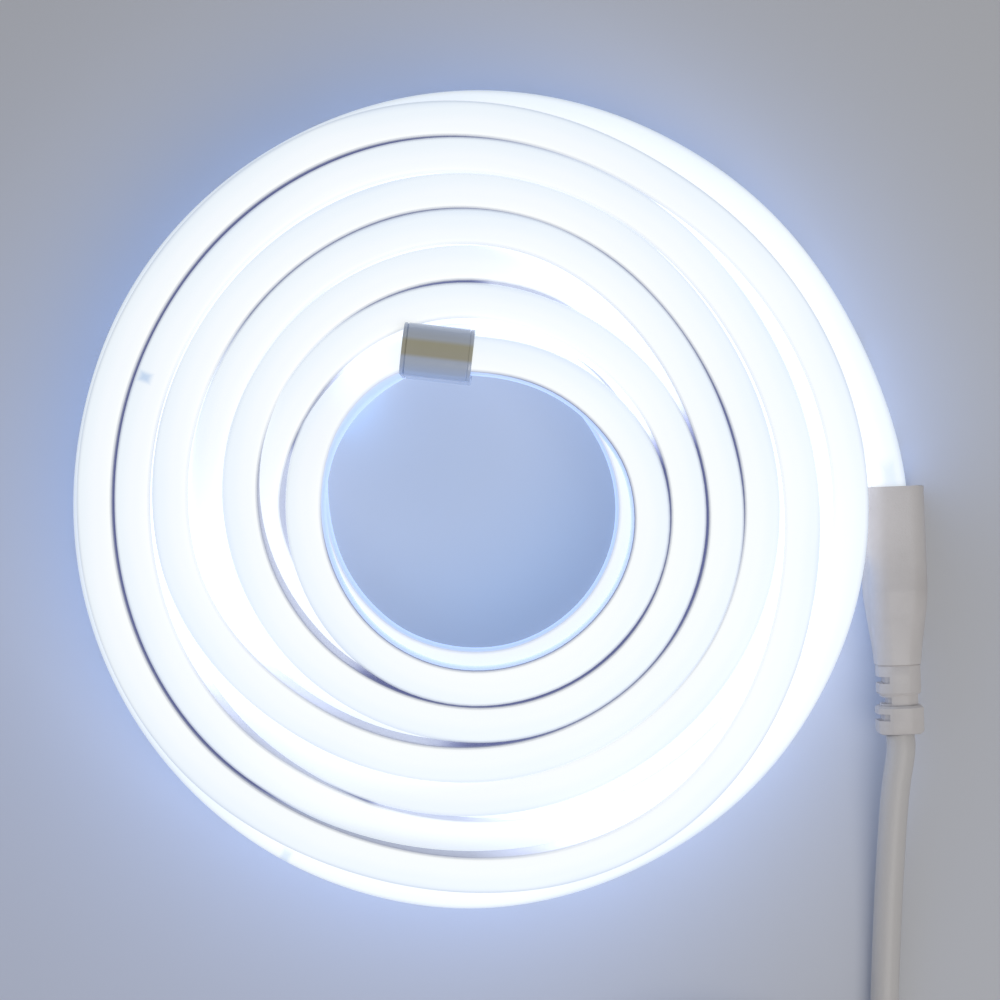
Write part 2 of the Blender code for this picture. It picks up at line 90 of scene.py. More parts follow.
def smooth_steps(places, values, reach, sample):
    """Values between the given places, with every corner eased over a reach to each side."""
    step = sample[1] - sample[0]
    count = int(round(reach / step))
    plain = np.interp(sample, places, values)
    bell = np.hanning(2 * count + 3)[1:-1]
    padded = np.pad(plain, count, mode="reflect", reflect_type="odd")
    return np.convolve(padded, bell / bell.sum(), mode="valid")


def smooth_line(points, steps):
    """Points on a smooth curve through the given ones, a few for each stretch."""
    points = [np.array(p, float) for p in points]
    ends = [2 * points[0] - points[1]] + points + [2 * points[-1] - points[-2]]
    line = []
    for a, b, c, d in zip(ends, ends[1:], ends[2:], ends[3:]):
        for i in range(steps):
            t = i / steps
            line.append(0.5 * (2 * b + (c - a) * t + (2 * a - 5 * b + 4 * c - d) * t ** 2
                               + (3 * b - 3 * c + d - a) * t ** 3))
    line.append(points[-1])
    return line


def curve_through(name, points):
    """A curve object of one open spline through the points."""
    data = bpy.data.curves.new(name, "CURVE")
    data.dimensions = "3D"
    data.twist_mode = "Z_UP"
    spline = data.splines.new("POLY")
    spline.points.add(len(points) - 1)
    for slot, point in zip(spline.points, points):
        slot.co = (*point, 1.0)
    curve = bpy.data.objects.new(name, data)
    bpy.context.scene.collection.objects.link(curve)
    return curve


LEAD_COIL_DEGREES = LEAD_TURNS[-1][0]
progress = np.arange(0.0, LEAD_COIL_DEGREES + 0.1, 7.5)
turn_places, turn_radii, turn_heights = zip(*LEAD_TURNS)
lead_radius = smooth_steps(turn_places, turn_radii, 22.5, progress)
lead_height = smooth_steps(turn_places, turn_heights, 22.5, progress)
coil_points = [
    (LEAD_COIL[0] + 0.001 * r * math.cos(math.radians(p)),
     LEAD_COIL[1] - 0.001 * r * math.sin(math.radians(p)), 0.001 * h)
    for p, r, h in zip(progress, lead_radius, lead_height)
]
lead_path = smooth_line(LEAD_ROUTE + tuple(coil_points[::2]) + LEAD_END, 3)
lead = curve_through("power_lead", lead_path)
lead.data.bevel_depth = LEAD_DIAMETER / 2
lead.data.bevel_resolution = 6
lead.data.use_fill_caps = True
bpy.context.view_layer.objects.active = lead
lead.select_set(True)
bpy.ops.object.convert(target="MESH")
lead = bpy.context.object
# The tube's two end caps are loose discs, so they are joined to it.
bpy.ops.object.mode_set(mode="EDIT")
bpy.ops.mesh.select_mode(type="VERT")
bpy.ops.mesh.select_all(action="DESELECT")
bpy.ops.mesh.select_non_manifold()
bpy.ops.mesh.remove_doubles(threshold=0.000005)
bpy.ops.object.mode_set(mode="OBJECT")
bpy.ops.object.shade_smooth_by_angle(angle=math.radians(40))
bpy.ops.object.select_all(action="DESELECT")


def finish(name, colour, roughness):
    """A new material with its shader."""
    material = bpy.data.materials.new(name)
    material.use_nodes = True
    shader = material.node_tree.nodes["Principled BSDF"]
    shader.inputs["Base Color"].default_value = (*colour, 1.0)
    shader.inputs["Roughness"].default_value = roughness
    return material, shader


def node(material, kind, **values):
    """A new node in a material, its sockets set by name with _ for a space."""
    made = material.node_tree.nodes.new("ShaderNode" + kind)
    for name, value in values.items():
        made.inputs[name.replace("_", " ")].default_value = value
    return made


def link(material, output, socket):
    material.node_tree.links.new(output, socket)


def ramp(material, source, stops, easing="EASE"):
    """A colour ramp fed by a value, from (place, colour) pairs."""
    made = material.node_tree.nodes.new("ShaderNodeValToRGB")
    made.color_ramp.interpolation = easing
    elements = made.color_ramp.elements
    while len(elements) < len(stops):
        elements.new(0.5)
    for element, (place, colour) in zip(elements, stops):
        element.position = place
        element.color = (*colour, 1.0)
    link(material, source, made.inputs["Fac"])
    return made.outputs["Color"]


def maths(material, operation, first, second=None, third=None):
    """One sum on a value, with numbers or other values."""
    made = material.node_tree.nodes.new("ShaderNodeMath")
    made.operation = operation
    for socket, value in zip(made.inputs, (first, second, third)):
        if isinstance(value, (int, float)):
            socket.default_value = value
        elif value is not None:
            link(material, value, socket)
    return made.outputs[0]


def blend(material, kind, factor, first, second):
    """Two colours mixed, multiplied or added, by a number or a value."""
    made = material.node_tree.nodes.new("ShaderNodeMix")
    made.data_type = "RGBA"
    made.blend_type = kind
    for socket, value in ((made.inputs[0], factor), (made.inputs[6], first),
                          (made.inputs[7], second)):
        if isinstance(value, (int, float)):
            socket.default_value = value
        else:
            link(material, value, socket)
    return made.outputs[2]


def bump(material, shader, height, strength, distance):
    """Fine relief on the shader from a height."""
    made = node(material, "Bump", Strength=strength, Distance=distance)
    link(material, height, made.inputs["Height"])
    link(material, made.outputs["Normal"], shader.inputs["Normal"])


lead_pvc, shader = finish("lead_pvc", (0.76, 0.75, 0.73), 0.42)
place = node(lead_pvc, "TexCoord")
streak_map = node(lead_pvc, "Mapping", Scale=(6.0, 900.0, 1.0))
link(lead_pvc, place.outputs["UV"], streak_map.inputs["Vector"])
streaks = node(lead_pvc, "TexNoise", Scale=1.0, Detail=4.0)
link(lead_pvc, streak_map.outputs["Vector"], streaks.inputs["Vector"])
link(lead_pvc, ramp(lead_pvc, streaks.outputs["Fac"], (
    (0.3, (0.54, 0.515, 0.50)), (0.7, (0.64, 0.62, 0.61)))), shader.inputs["Base Color"])
grain = node(lead_pvc, "TexNoise", Scale=1400.0, Detail=3.0)
link(lead_pvc, place.outputs["Object"], grain.inputs["Vector"])
bump(lead_pvc, shader, grain.outputs["Fac"], 0.25, 0.0002)
lead.data.materials.append(lead_pvc)
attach(lead, "root")
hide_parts("lead_seen", "lead_coil", "lead_end")

# ---------------------------------------------------------------------------
# The neon flex: one extruded silicone band, 8 mm wide and 16 mm tall, with a
# white jacket and a milky top that the light comes out of. It is wound by hand
# in two layers: a turn lies above or beside another, and here and there slips
# under its neighbour or climbs over it.
# ---------------------------------------------------------------------------
FLEX_WIDTH = 0.008
FLEX_HEIGHT = 0.016
FLEX_CENTRE = -0.0061
# One line of stations for each turn, from the connector in to the end cap: an
# angle in degrees, the radius there and the height of the band's foot, in mm.
FLEX_TURNS = (
    ((-8, 94.5, 1.5), (-3, 93.7, 1.5), (3, 93.1, 1.4), (10, 91.6, 0.9), (20, 90.0, 0.3),
     (30, 89.4, 0), (45, 89.0, 0), (60, 88.3, 0), (90, 88.0, 0), (105, 87.4, 0), (120, 86.8, 0),
     (150, 86.2, 0), (165, 85.5, 0), (180, 85.6, 0), (210, 86.4, 0), (240, 87.3, 0),
     (270, 87.8, 0), (285, 87.0, 0), (300, 86.2, 0.3), (315, 85.7, 2.5), (330, 84.3, 6.5),
     (345, 83.5, 11)),
    ((0, 82.7, 14.5), (15, 81.7, 16), (30, 80.9, 16), (45, 80.2, 16), (60, 80.0, 16),
     (75, 81.4, 16), (90, 83.0, 16), (105, 84.1, 16), (120, 83.9, 16), (150, 82.6, 16),
     (180, 82.1, 16), (210, 82.8, 16), (225, 82.8, 16), (240, 81.7, 16), (255, 81.2, 16),
     (270, 81.6, 16), (285, 82.4, 16), (300, 81.9, 16), (315, 79.4, 16), (330, 76.1, 16),
     (345, 73.3, 16)),
    ((0, 71.7, 16), (15, 70.7, 16), (30, 70.3, 16), (45, 70.9, 16), (60, 72.4, 16),
     (75, 73.7, 16), (90, 75.2, 16), (105, 76.0, 16), (120, 75.7, 16), (150, 74.5, 16),
     (180, 73.9, 16), (210, 74.6, 16), (225, 74.6, 15.5), (240, 73.7, 13.5), (255, 74.0, 10),
     (270, 74.9, 5.5), (285, 76.3, 1.8), (300, 77.5, 0), (330, 78.3, 0)),
    ((0, 78.5, 0), (60, 78.0, 0), (90, 77.5, 0), (120, 76.3, 0), (150, 74.5, 0), (180, 72.0, 0),
     (200, 70.0, 0.5), (215, 68.6, 2.5), (230, 67.2, 6), (245, 66.1, 10), (260, 65.4, 13.5),
     (275, 64.9, 15.6), (290, 64.6, 16), (330, 64.3, 16), (345, 63.8, 16)),
    ((0, 63.2, 16), (15, 62.4, 16), (30, 62.0, 16), (45, 62.8, 16), (60, 64.6, 16),
     (75, 66.2, 16), (90, 67.4, 16), (105, 67.9, 16), (120, 67.5, 16), (150, 66.5, 16),
     (180, 65.8, 16), (195, 65.4, 16), (210, 63.3, 16), (225, 60.9, 16), (240, 59.3, 16),
     (255, 58.3, 16), (270, 57.6, 16), (300, 57.2, 16), (330, 57.0, 16), (345, 56.3, 16)),
    ((0, 55.3, 16), (15, 54.2, 16), (30, 54.2, 16), (45, 55.1, 16), (60, 56.8, 16),
     (75, 58.7, 16), (90, 59.7, 16), (105, 60.0, 16), (120, 59.7, 16), (150, 58.6, 16),
     (165, 58.3, 15), (180, 58.3, 12.5), (195, 59.6, 9), (210, 61.0, 5.5), (225, 61.7, 2.5),
     (240, 63.2, 0.7), (255, 65.7, 0), (270, 68.1, 0), (285, 69.3, 0), (315, 70.1, 0)),
    ((0, 70.2, 0), (60, 69.2, 0), (90, 67.5, 0), (120, 64.0, 0), (150, 59.5, 0), (170, 56.0, 0),
     (190, 54.0, 0), (225, 53.5, 0), (255, 53.4, 0), (300, 52.8, 0)),
    ((0, 51.5, 0), (30, 51.0, 0), (45, 51.0, 0), (60, 51.1, 1.5), (67, 51.2, 4),
     (75, 51.4, 8.5), (83, 51.5, 13), (90, 51.7, 15.3), (100, 51.9, 16), (120, 51.7, 16),
     (150, 51.3, 16), (165, 51.0, 16), (180, 50.5, 16), (210, 49.3, 16), (240, 48.5, 16),
     (255, 48.6, 16), (270, 49.0, 16), (285, 49.4, 16), (300, 49.4, 16), (315, 49.3, 16),
     (330, 48.8, 16), (345, 48.0, 16)),
    ((0, 47.1, 16), (15, 46.1, 16), (30, 44.9, 16), (45, 43.8, 16), (60, 43.1, 16),
     (75, 43.0, 16), (90, 43.5, 16), (105, 43.9, 16), (150, 44.1, 16), (165, 44.9, 14),
     (180, 45.8, 9), (195, 45.6, 4.5), (210, 45.4, 1.3), (225, 45.4, 0), (300, 45.2, 0)),
    ((0, 45.0, 0), (60, 44.7, 0), (100, 44.0, 0), (120, 43.0, 0), (135, 41.5, 0),
     (150, 39.8, 0), (165, 38.3, 0), (180, 37.2, 0), (195, 36.9, 0), (225, 37.2, 0),
     (240, 37.7, 0), (270, 37.9, 0), (285, 38.1, 0), (315, 37.8, 0), (345, 37.1, 0)),
    ((0, 36.6, 0), (15, 36.0, 0), (30, 35.4, 0), (60, 35.6, 0), (105, 36.0, 0), (115, 36.0, 0),
     (125, 36.1, 1.5), (135, 36.3, 4.5), (145, 36.5, 8.5), (155, 36.6, 12), (165, 36.7, 14.8),
     (175, 36.6, 16), (195, 37.1, 16), (210, 37.8, 16), (225, 38.8, 16), (240, 39.8, 16),
     (255, 40.6, 16), (270, 41.1, 16), (300, 41.3, 16), (330, 40.8, 16), (345, 40.2, 16)),
    ((0, 39.1, 16), (15, 37.7, 16.2), (30, 35.5, 16.5), (45, 33.9, 17.0), (60, 32.6, 17.5),
     (75, 31.7, 17.9), (90, 31.5, 18.05), (97, 32.1, 18.05), (103, 33.1, 18.05),
     (109.2, 34.7, 18.05)),
)

station_angles, station_radii, station_heights = zip(*(
    (360 * turn + s[0], s[1], s[2]) for turn, row in enumerate(FLEX_TURNS) for s in row))
angle = np.arange(station_angles[0], station_angles[-1], 1.0)
radius = smooth_steps(station_angles, station_radii, 13, angle)
height = smooth_steps(station_angles, station_heights, 10, angle)
turn_of = np.radians(angle)
flex_path = np.stack([
    FLEX_CENTRE + 0.001 * radius * np.cos(turn_of),
    0.001 * radius * np.sin(turn_of),
    0.001 * np.maximum(height, 0.0),
], axis=1)
steps = np.linalg.norm(np.diff(flex_path, axis=0), axis=1)
along = np.concatenate([[0.0], np.cumsum(steps)])
flex_length = float(along[-1])

# One slice of the straight band: a block without its end faces, its crown rounded and a
# seam pressed in on each side, where the milky top meets the jacket.
SLICE = 0.0025
SEAM = (0.0133, 0.0137)
CROWN_ROUND = 0.0013
CROWN_RISE = 0.00015
slices = int(flex_length / SLICE)
slice_length = flex_length / slices
bpy.ops.mesh.primitive_cube_add(size=1.0)
flex = bpy.context.object
flex.name = "neon_flex"
flex.scale = (slice_length, FLEX_WIDTH, FLEX_HEIGHT)
flex.location = (slice_length / 2, 0.0, FLEX_HEIGHT / 2)
bpy.ops.object.transform_apply(location=True, rotation=True, scale=True)


def select_faces(piece, wanted):
    """In edit mode, selects the faces whose middle and normal pass a test."""
    mesh = bmesh.from_edit_mesh(piece.data)
    for part in (*mesh.verts, *mesh.edges, *mesh.faces):
        part.select = False
    mesh.select_mode = {"FACE"}
    for face in mesh.faces:
        face.select_set(wanted(face.calc_center_median(), face.normal))
    mesh.select_flush_mode()
    bmesh.update_edit_mesh(piece.data)


def select_verts(piece, wanted):
    """In edit mode, selects the vertices whose place passes a test."""
    mesh = bmesh.from_edit_mesh(piece.data)
    for part in (*mesh.verts, *mesh.edges, *mesh.faces):
        part.select = False
    mesh.select_mode = {"VERT"}
    for vertex in mesh.verts:
        vertex.select_set(wanted(vertex.co))
    mesh.select_flush_mode()
    bmesh.update_edit_mesh(piece.data)


def select_edges(piece, wanted):
    """In edit mode, selects the edges whose two ends pass a test."""
    mesh = bmesh.from_edit_mesh(piece.data)
    for part in (*mesh.verts, *mesh.edges, *mesh.faces):
        part.select = False
    mesh.select_mode = {"EDGE"}
    for edge in mesh.edges:
        edge.select_set(wanted(edge.verts[0].co, edge.verts[1].co))
    bmesh.update_edit_mesh(piece.data)


bpy.ops.object.mode_set(mode="EDIT")
select_faces(flex, lambda middle, normal: abs(normal.x) > 0.9)
bpy.ops.mesh.delete(type="ONLY_FACE")
for level in SEAM:
    bpy.ops.mesh.select_all(action="SELECT")
    bpy.ops.mesh.bisect(plane_co=(0, 0, level), plane_no=(0, 0, 1))
select_faces(flex, lambda middle, normal: SEAM[0] < middle.z < SEAM[1])
bpy.ops.transform.resize(value=(1.0, 0.965, 1.0), center_override=(0, 0, sum(SEAM) / 2))
select_edges(flex, lambda a, b: min(a.z, b.z) > 0.0155 and abs(a.y - b.y) < 1e-6)
bpy.ops.mesh.bevel(offset=CROWN_ROUND, segments=5, profile=0.55, affect="EDGES")
select_edges(flex, lambda a, b: max(a.z, b.z) < 0.0005 and abs(a.y - b.y) < 1e-6)
bpy.ops.mesh.bevel(offset=0.0007, segments=2, affect="EDGES")
for across in (-0.0013, 0.0, 0.0013):
    bpy.ops.mesh.select_all(action="SELECT")
    bpy.ops.mesh.bisect(plane_co=(0, across, 0), plane_no=(0, 1, 0))
bpy.ops.object.mode_set(mode="OBJECT")
for vertex in flex.data.vertices:
    if vertex.co.z > 0.0155:
        vertex.co.z += CROWN_RISE * (1.0 - (vertex.co.y / (FLEX_WIDTH / 2)) ** 2)

row = flex.modifiers.new("row", "ARRAY")
row.count = slices
row.relative_offset_displace = (1.0, 0.0, 0.0)
row.use_merge_vertices = True
row.merge_threshold = 0.00001
bpy.ops.object.modifier_apply(modifier="row")
bpy.ops.object.mode_set(mode="EDIT")
for end in (0.0, flex_length):
    select_edges(flex, lambda a, b: abs(a.x - end) < 1e-4 and abs(b.x - end) < 1e-4)
    bpy.ops.mesh.edge_face_add()
bpy.ops.object.mode_set(mode="OBJECT")

# The band's own map: along it in metres, and across it from the foot of its outer wall (0)
# over the crown (0.25 to 0.75) to the foot of its inner wall (1).
mesh = flex.data
while mesh.uv_layers:
    mesh.uv_layers.remove(mesh.uv_layers[0])
band_map = mesh.uv_layers.new(name="band")
for face in mesh.polygons:
    under = face.normal.z < -0.7
    for corner in face.loop_indices:
        place = mesh.vertices[mesh.loops[corner].vertex_index].co
        side = place.y / (FLEX_WIDTH / 2)
        if place.z < FLEX_HEIGHT - 0.00135:
            side = math.copysign(1.0 + (1.0 - place.z / FLEX_HEIGHT), place.y)
        band_map.data[corner].uv = (place.x, 0.0 if under else 0.5 + side / 4.0)

# How dark the painted shade on the unlit edge and wall stands along the band's inner side, as
# judged: degrees along the turns and the darkness there. A turn that touches its outer neighbour
# at one height shares the painted dark line between them.
EDGE_SHADE = (
    (-8, 0.3), (360, 0.3), (415, 0.35), (440, 0.8), (452, 1.0), (628, 1.0), (645, 0.55),
    (665, 0.25), (720, 0.2), (745, 0.35), (780, 0.35), (792, 0.2), (868, 0.2), (885, 0.45),
    (925, 0.35), (945, 0.9), (985, 0.9), (1002, 0.3), (1270, 0.2), (1385, 0.25), (1405, 0.85),
    (1440, 1.0), (1580, 0.95), (1598, 0.3), (1640, 0.3), (1658, 0.6), (1682, 0.95),
    (1812, 1.0), (1824, 0.6), (1880, 0.45), (1900, 0.2), (2160, 0.3), (2580, 0.25), (2596, 0.95),
    (2638, 0.95), (2652, 0.55), (2680, 0.6), (2692, 1.0), (2890, 1.0), (2903, 0.5), (2915, 0.3),
    (3008, 0.25), (3024, 0.95), (3066, 0.95), (3085, 0.5), (3240, 0.5), (3600, 0.5),
    (3780, 0.5), (3800, 0.95), (4028, 1.0), (4060, 0.6),
)
INNER, OUTER = 1, -1
darkness = {INNER: np.interp(angle, *zip(*EDGE_SHADE)), OUTER: np.full(len(angle), 0.12)}
darkness[OUTER][(angle > 352) & (angle < 700)] = 0.35
room = {INNER: np.ones(len(angle)), OUTER: np.ones(len(angle))}
for other in range(-12, 13):
    here = np.arange(max(0, -360 * other), min(len(angle), len(angle) - 360 * other))
    there = here + 360 * other
    for side in (INNER, OUTER):
        gap = side * (radius[here] - radius[there]) - 1000 * FLEX_WIDTH
        if other:
            room[side][here[gap > -3.0]] = 0.0
        if side == OUTER:
            level = np.abs(height[here] - height[there])
            shares = np.clip((1.6 - np.abs(gap)) / 0.8, 0, 1) * np.clip((3 - level) / 1.5, 0, 1)
            darkness[OUTER][here] = np.maximum(
                darkness[OUTER][here], 0.85 * shares * darkness[INNER][there])
places = np.array([v.co for v in mesh.vertices])
for name, sides in (("edge_shade", darkness), ("room_wall", room)):
    mesh.attributes.new(name=name, type="FLOAT", domain="POINT")
    values = np.where(places[:, 1] > 0.0, np.interp(places[:, 0], along, sides[INNER]),
                      np.interp(places[:, 0], along, sides[OUTER]))
    mesh.attributes[name].data.foreach_set("value", values)

wound = curve_through("flex_path", flex_path)
winding = flex.modifiers.new("winding", "CURVE")
winding.object = wound
winding.deform_axis = "POS_X"
bpy.context.view_layer.objects.active = flex
bpy.ops.object.modifier_apply(modifier="winding")
bpy.data.objects.remove(wound)
bpy.ops.object.select_all(action="DESELECT")
flex.select_set(True)
bpy.ops.object.shade_smooth_by_angle(angle=math.radians(50))
bpy.ops.object.select_all(action="DESELECT")

flex_silicone, shader = finish("flex_silicone", (0.42, 0.44, 0.49), 0.45)
place = node(flex_silicone, "TexCoord")
split = node(flex_silicone, "SeparateXYZ")
link(flex_silicone, place.outputs["UV"], split.inputs["Vector"])

# The crown glows milky white towards the inner edge, with a painted lavender shade towards the
# outer one, drifting along the band to stand for its lean and twist in the turns.
drift_map = node(flex_silicone, "Mapping", Scale=(22.0, 0.6, 1.0))
link(flex_silicone, place.outputs["UV"], drift_map.inputs["Vector"])
drift = node(flex_silicone, "TexNoise", Scale=1.0, Detail=2.0)
link(flex_silicone, drift_map.outputs["Vector"], drift.inputs["Vector"])
shift = maths(flex_silicone, "MULTIPLY_ADD", drift.outputs["Fac"], 0.30, -0.15)
across = maths(flex_silicone, "ADD", split.outputs["Y"], shift)
crown_glow_and_painted_shade = ramp(flex_silicone, across, (
    (0.22, (0.52, 0.585, 0.65)), (0.34, (0.605, 0.65, 0.665)), (0.55, (0.66, 0.68, 0.675)),
    (0.76, (0.70, 0.705, 0.66))))

# The opaque jacket's two thin edges beside the crown, with painted shade where a gap opens beside
# them.
edge_shade = flex_silicone.node_tree.nodes.new("ShaderNodeAttribute")
edge_shade.attribute_name = "edge_shade"
from_middle = maths(flex_silicone, "ABSOLUTE", maths(
    flex_silicone, "SUBTRACT", split.outputs["Y"], 0.5))
at_edge = ramp(flex_silicone, from_middle, (
    (0.200, (0.0, 0.0, 0.0)), (0.226, (0.45, 0.45, 0.45)), (0.241, (1.0, 1.0, 1.0))))
unlit = maths(flex_silicone, "MULTIPLY", at_edge, maths(
    flex_silicone, "MULTIPLY_ADD", edge_shade.outputs["Fac"], 0.75, 0.25))
crown = blend(flex_silicone, "MIX", unlit, crown_glow_and_painted_shade, ramp(flex_silicone, edge_shade.outputs["Fac"], (
    (0.0, (0.36, 0.41, 0.50)), (1.0, (0.02, 0.02, 0.07))), "LINEAR"))

# The cutting marks, a dark joint of the circuit showing through the milky top, and a painted soft
# shade
# where the band goes into its connector: how far along the turns, half length and half width.
for turn, half_length, middle, half_width, depth in (
        (879.4, 0.0016, 0.40, 0.13, 0.36), (242.3, 0.0016, 0.32, 0.16, 0.22),
        (3.2, 0.0045, 0.48, 0.15, 0.16)):
    from_mark = maths(flex_silicone, "ABSOLUTE", maths(
        flex_silicone, "SUBTRACT", split.outputs["X"], float(np.interp(turn, angle, along))))
    from_line = maths(flex_silicone, "ABSOLUTE", maths(
        flex_silicone, "SUBTRACT", split.outputs["Y"], middle))
    reach = maths(flex_silicone, "MAXIMUM",
                  maths(flex_silicone, "DIVIDE", from_mark, half_length),
                  maths(flex_silicone, "DIVIDE", from_line, half_width))
    mark_and_painted_shade = ramp(flex_silicone, reach, (
        (0.15, (1.0 - depth * 1.35, 1.0 - depth, 1.0 - depth * 0.45)), (1.0, (1.0, 1.0, 1.0))))
    crown = blend(flex_silicone, "MULTIPLY", 1.0, crown, mark_and_painted_shade)

# The side walls of the opaque jacket glow with painted light and shade: painted shade where the
# gap beside them is unlit, painted light over a lit turn, and a painted bluer glow on the walls
# that face the room on the coil's outside and in its bore.
room_wall = flex_silicone.node_tree.nodes.new("ShaderNodeAttribute")
room_wall.attribute_name = "room_wall"
painted_wall_light_and_shade = ramp(flex_silicone, edge_shade.outputs["Fac"], (
    (0.15, (0.82, 0.86, 0.90)), (0.42, (0.70, 0.74, 0.84)),
    (0.70, (0.24, 0.26, 0.40)), (0.95, (0.02, 0.02, 0.07))), "LINEAR")
painted_room_side_glow = ramp(flex_silicone, split.outputs["Y"], (
    (0.0, (0.46, 0.58, 0.84)), (0.24, (0.58, 0.68, 0.88)), (0.5, (0.58, 0.68, 0.88)),
    (0.76, (0.33, 0.42, 0.60)), (0.86, (0.28, 0.38, 0.62)), (0.94, (0.34, 0.46, 0.74)),
    (1.0, (0.38, 0.52, 0.84))), "LINEAR")
wall = blend(flex_silicone, "MIX", room_wall.outputs["Fac"], painted_wall_light_and_shade, painted_room_side_glow)
outside = maths(flex_silicone, "GREATER_THAN", from_middle, 0.2505)
link(flex_silicone, blend(flex_silicone, "MIX", outside, crown, wall),
     shader.inputs["Emission Color"])
shader.inputs["Emission Strength"].default_value = 1.0
grain = node(flex_silicone, "TexNoise", Scale=700.0, Detail=3.0)
link(flex_silicone, place.outputs["Object"], grain.inputs["Vector"])
bump(flex_silicone, shader, grain.outputs["Fac"], 0.15, 0.0002)
flex.data.materials.append(flex_silicone)
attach(flex, "root")
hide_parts("flex_coil")

# ---------------------------------------------------------------------------
# The end cap: a cup moulded in one shot from milky gloss plastic, pushed 12 mm
# over the flex's inner end and glued. A low bead runs round each of its ends.
# ---------------------------------------------------------------------------
CAP_SIZE = (0.0155, 0.0116, 0.0195)
CAP_FOOT = 0.0163
CAP_MIDDLE = (-0.01361, 0.03213)
CAP_TURN = math.radians(-6.5)

bpy.ops.mesh.primitive_cube_add(size=1.0)
cap = bpy.context.object
cap.name = "end_cap_shell"
cap.scale = CAP_SIZE
cap.location = (0.0, 0.0, CAP_FOOT + CAP_SIZE[2] / 2)
bpy.ops.object.transform_apply(location=True, rotation=True, scale=True)
bpy.ops.object.mode_set(mode="EDIT")
cap_top = CAP_FOOT + CAP_SIZE[2]
select_edges(cap, lambda a, b: min(a.z, b.z) > cap_top - 1e-5 and abs(a.y - b.y) < 1e-6)
bpy.ops.mesh.bevel(offset=0.0040, segments=10, affect="EDGES")
select_edges(cap, lambda a, b: max(a.z, b.z) < CAP_FOOT + 1e-5 and abs(a.y - b.y) < 1e-6)
bpy.ops.mesh.bevel(offset=0.0011, segments=3, affect="EDGES")
select_faces(cap, lambda middle, normal: normal.x > 0.9)
bpy.ops.mesh.inset(thickness=0.0016)
bpy.ops.mesh.extrude_region_move(TRANSFORM_OT_translate={"value": (-0.012, 0.0, 0.0)})
end = CAP_SIZE[0] / 2
select_edges(cap, lambda a, b: min(a.x, b.x) > end - 1e-5 or max(a.x, b.x) < 1e-5 - end)
bpy.ops.mesh.bevel(offset=0.0003, segments=3, affect="EDGES")
for side in (-1, 1):
    for back in (0.0007, 0.0009, 0.0011):
        bpy.ops.mesh.select_all(action="SELECT")
        bpy.ops.mesh.bisect(plane_co=(side * (end - back), 0, 0), plane_no=(1, 0, 0))
    select_verts(cap, lambda at: abs(abs(at.x) - (end - 0.0009)) < 2e-5
                 and (abs(at.y) > 0.0043 or abs(at.z - 0.026) > 0.0083))
    bpy.ops.transform.resize(value=(1.0, 0.975, 0.985), center_override=(0, 0, 0.02605))
bpy.ops.mesh.select_all(action="SELECT")
bpy.ops.mesh.normals_make_consistent(inside=False)
bpy.ops.object.mode_set(mode="OBJECT")
cap.rotation_euler = (0.0, 0.0, CAP_TURN)
cap.location = (*CAP_MIDDLE, 0.0)
bpy.ops.object.transform_apply(location=True, rotation=True, scale=True)
bpy.ops.object.shade_smooth_by_angle(angle=math.radians(35))
bpy.ops.object.select_all(action="DESELECT")

cap_plastic, shader = finish("cap_plastic", (0.60, 0.62, 0.60), 0.16)
shader.inputs["Coat Weight"].default_value = 0.5
shader.inputs["Coat Roughness"].default_value = 0.06
place = node(cap_plastic, "TexCoord")
on_cap = node(cap_plastic, "Mapping", Rotation=(0.0, 0.0, -CAP_TURN))
link(cap_plastic, place.outputs["Object"], on_cap.inputs["Vector"])
split = node(cap_plastic, "SeparateXYZ")
link(cap_plastic, on_cap.outputs["Vector"], split.inputs["Vector"])
middle = -CAP_MIDDLE[0] * math.sin(CAP_TURN) + CAP_MIDDLE[1] * math.cos(CAP_TURN)
across = maths(cap_plastic, "MULTIPLY_ADD", split.outputs["Y"], 80.0, 0.5 - 80.0 * middle)
# Painted light across the cap: bluish at both sides, painted light from the glowing turns beside
# it,
# and a khaki band along its middle, a painted reflection of the dark room above.
link(cap_plastic, ramp(cap_plastic, across, (
    (0.05, (0.46, 0.56, 0.78)), (0.33, (0.52, 0.58, 0.70)), (0.42, (0.46, 0.43, 0.31)),
    (0.62, (0.46, 0.43, 0.29)), (0.72, (0.50, 0.54, 0.60)), (0.95, (0.58, 0.66, 0.84)))),
    shader.inputs["Base Color"])
waver = node(cap_plastic, "TexNoise", Scale=260.0, Detail=2.0)
link(cap_plastic, place.outputs["Object"], waver.inputs["Vector"])
bump(cap_plastic, shader, waver.outputs["Fac"], 0.35, 0.0004)
cap.data.materials.append(cap_plastic)
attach(cap, "root")
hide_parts("end_cap")

# ---------------------------------------------------------------------------
# The power connector: a sleeve that the flex's outer end is glued into, tapering
# to a strain relief of collar, neck and ring. One moulding in off-white PVC,
# notched on the coil's side so that it bends.
# ---------------------------------------------------------------------------
SLEEVE = (0.0130, 0.0235, 0.0190)
CONNECTOR_MOUTH = (0.08845, 0.0031)
CONNECTOR_LEAN = math.radians(2.2)
CONNECTOR_AXIS = 0.0095
TAPER_LENGTH = 0.0167
COLLAR_RADIUS = 0.0047
RING_RADIUS = 0.0051
NECK_RADIUS = 0.0040
# How far from the mouth each notch is, and how deep it goes.
STRAIN_NOTCHES = ((0.0436, 0.0013), (0.04825, 0.0012), (0.0520, 0.0013))
NOTCH_WIDTH = 0.0015

bpy.ops.mesh.primitive_cube_add(size=1.0)
connector = bpy.context.object
connector.name = "power_connector_moulding"
connector.scale = SLEEVE
connector.location = (0.0, -SLEEVE[1] / 2, SLEEVE[2] / 2)
bpy.ops.object.transform_apply(location=True, rotation=True, scale=True)
bpy.ops.object.mode_set(mode="EDIT")
select_edges(connector, lambda a, b: abs(a.y - b.y) > 0.01)
bpy.ops.mesh.bevel(offset=0.0042, segments=9, affect="EDGES")
back = SLEEVE[1]


